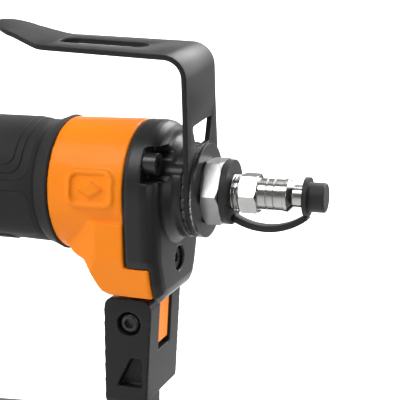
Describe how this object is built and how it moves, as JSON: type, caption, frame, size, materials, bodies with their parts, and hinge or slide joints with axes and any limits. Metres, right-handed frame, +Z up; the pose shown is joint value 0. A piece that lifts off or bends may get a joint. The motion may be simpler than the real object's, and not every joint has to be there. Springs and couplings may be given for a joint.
{
  "type": "flooring nailer",
  "caption": "Trigger-fired pneumatic flooring cleat nailer on a horseshoe floor shoe, with swivel belt hook, dust-capped air plug and a straight cleat magazine.",
  "frame": {"origin": "the point of the sole plane where the cleat leaves the nose", "axes": "+Z up from the floor, +X along the shoe towards the operator, +Y to the side of the contact arm"},
  "size_m": [0.3822, 0.092, 0.3595],
  "materials": {
    "housing_orange": "satin powder coat on die-cast magnesium",
    "grip_rubber": "moulded, fine matt",
    "cap_black": "satin moulded",
    "black_steel": "black oxide and powder coat",
    "zinc_steel": "zinc plated",
    "chrome_plug": "polished nickel plate",
    "tool_steel": "ground",
    "bare_aluminium": "anodised",
    "black_aluminium": "black anodised extrusion",
    "seal_rubber": "nitrile",
    "bumper_rubber": "polyurethane",
    "dust_rubber": "soft moulded",
    "sole_nylon": "no-mar plastic",
    "valve_brass": "turned",
    "trigger_metal": "satin black"
  },
  "bodies": {
    "tool": {"main_housing": "housing_orange", "grip_sleeve": "grip_rubber", "rear_cap": "cap_black", "rear_cap_gasket": "seal_rubber", "rear_cap_bolts": "black_steel", "detent_ring": "black_steel", "lock_washer": "zinc_steel", "flat_washer": "black_steel", "inlet_bushing": "zinc_steel", "plug_nipple": "chrome_plug", "tether_ring": "dust_rubber", "tether_strap": "dust_rubber", "magazine_bracket": "black_steel", "bracket_screw": "black_steel", "bracket_nut": "zinc_steel", "trigger_pin": "tool_steel", "trigger_valve": "valve_brass", "cylinder_sleeve": "bare_aluminium", "sleeve_seal": "seal_rubber", "bumper": "bumper_rubber", "head_cap": "black_aluminium", "head_cap_gasket": "seal_rubber", "head_cap_bolts": "black_steel", "deflector_screw": "zinc_steel", "nose_body": "tool_steel", "nose_bolts": "black_steel", "door_hinge_pin": "tool_steel", "contact_arm_screws": "zinc_steel", "magazine_body": "black_aluminium", "magazine_rail": "tool_steel", "magazine_screws": "black_steel", "magazine_end_cap": "cap_black", "shoe_plate": "bare_aluminium", "sole_pad": "sole_nylon", "shoe_screws": "black_steel", "shoe_struts": "black_steel", "height_bolts": "zinc_steel"},
    "belt_hook": {"belt_hook": "black_steel"},
    "dust_cap": {"dust_cap": "dust_rubber"},
    "trigger": {"trigger": "trigger_metal"},
    "trigger_stem": {"trigger_stem": "tool_steel"},
    "contact_arm": {"contact_arm": "black_steel"},
    "depth_wheel": {"depth_wheel": "black_steel"},
    "piston": {"piston": "bare_aluminium", "piston_ring": "seal_rubber", "driver_blade": "tool_steel"},
    "head_valve": {"head_valve": "cap_black", "head_valve_seal": "bumper_rubber", "head_valve_ring": "seal_rubber", "head_valve_spring": "tool_steel"},
    "exhaust_deflector": {"exhaust_deflector": "cap_black"},
    "nose_door": {"nose_door": "tool_steel", "latch_pin": "tool_steel"},
    "latch_lever": {"latch_lever": "zinc_steel"},
    "pusher": {"pusher": "cap_black", "pusher_blade": "tool_steel", "pusher_knob": "cap_black", "pusher_spring": "tool_steel"},
    "height_knob_left": {"height_knob_left": "cap_black"},
    "height_knob_right": {"height_knob_right": "cap_black"}
  },
  "joints": [
    {"name": "hook_swivel", "type": "hinge", "parent": "tool", "child": "belt_hook", "pos_m": [0.09133, 0, 0.31903], "axis": [0.749, 0, 0.6626], "range_deg": [-115, 115]},
    {"name": "dust_cap_pull", "type": "slide", "parent": "tool", "child": "dust_cap", "axis": [0.749, 0, 0.6626], "range_m": [0, 0.01]},
    {"name": "trigger_pull", "type": "hinge", "parent": "tool", "child": "trigger", "pos_m": [-0.06739, 0, 0.13321], "axis": [0, -1, 0], "range_deg": [0, 7], "stiffness_Nm_per_rad": 0.6, "springref_deg": -11.46},
    {"name": "stem_press", "type": "slide", "parent": "tool", "child": "trigger_stem", "axis": [-0.6626, 0, 0.749], "range_m": [0, 0.0023]},
    {"name": "contact_press", "type": "slide", "parent": "tool", "child": "contact_arm", "axis": [-0.7071, 0, 0.7071], "range_m": [0, 0.008], "stiffness_N_per_m": 200, "springref_m": -0.01},
    {"name": "depth_turn", "type": "hinge", "parent": "contact_arm", "child": "depth_wheel", "pos_m": [-0.02758, 0.0174, 0.09787], "axis": [-0.7071, 0, 0.7071], "continuous": true},
    {"name": "drive_stroke", "type": "slide", "parent": "tool", "child": "piston", "axis": [0.7071, 0, -0.7071], "range_m": [0, 0.062]},
    {"name": "head_valve_lift", "type": "slide", "parent": "tool", "child": "head_valve", "axis": [-0.7071, 0, 0.7071], "range_m": [0, 0.005], "stiffness_N_per_m": 1500, "springref_m": -0.004},
    {"name": "deflector_turn", "type": "hinge", "parent": "tool", "child": "exhaust_deflector", "pos_m": [-0.16617, 0, 0.16717], "axis": [-0.7071, 0, 0.7071], "continuous": true},
    {"name": "door_swing", "type": "hinge", "parent": "tool", "child": "nose_door", "pos_m": [-0.0594, 0, 0.0406], "axis": [0, 1, 0], "range_deg": [0, 80]},
    {"name": "latch_turn", "type": "hinge", "parent": "nose_door", "child": "latch_lever", "pos_m": [-0.03677, 0, 0.01797], "axis": [0, 1, 0], "range_deg": [0, 80]},
    {"name": "pusher_feed", "type": "slide", "parent": "tool", "child": "pusher", "axis": [0.7071, 0, 0.7071], "range_m": [0, 0.18], "stiffness_N_per_m": 15, "springref_m": -0.3},
    {"name": "left_knob_turn", "type": "hinge", "parent": "tool", "child": "height_knob_left", "pos_m": [0.04596, 0.02, 0.07383], "axis": [0, 1, 0], "continuous": true},
    {"name": "right_knob_turn", "type": "hinge", "parent": "tool", "child": "height_knob_right", "pos_m": [0.04596, -0.02, 0.07383], "axis": [0, 1, 0], "continuous": true}
  ],
  "couplings": [
    {"joint": "stem_press", "follows": "trigger_pull", "m_per_rad": 0.0185}
  ]
}
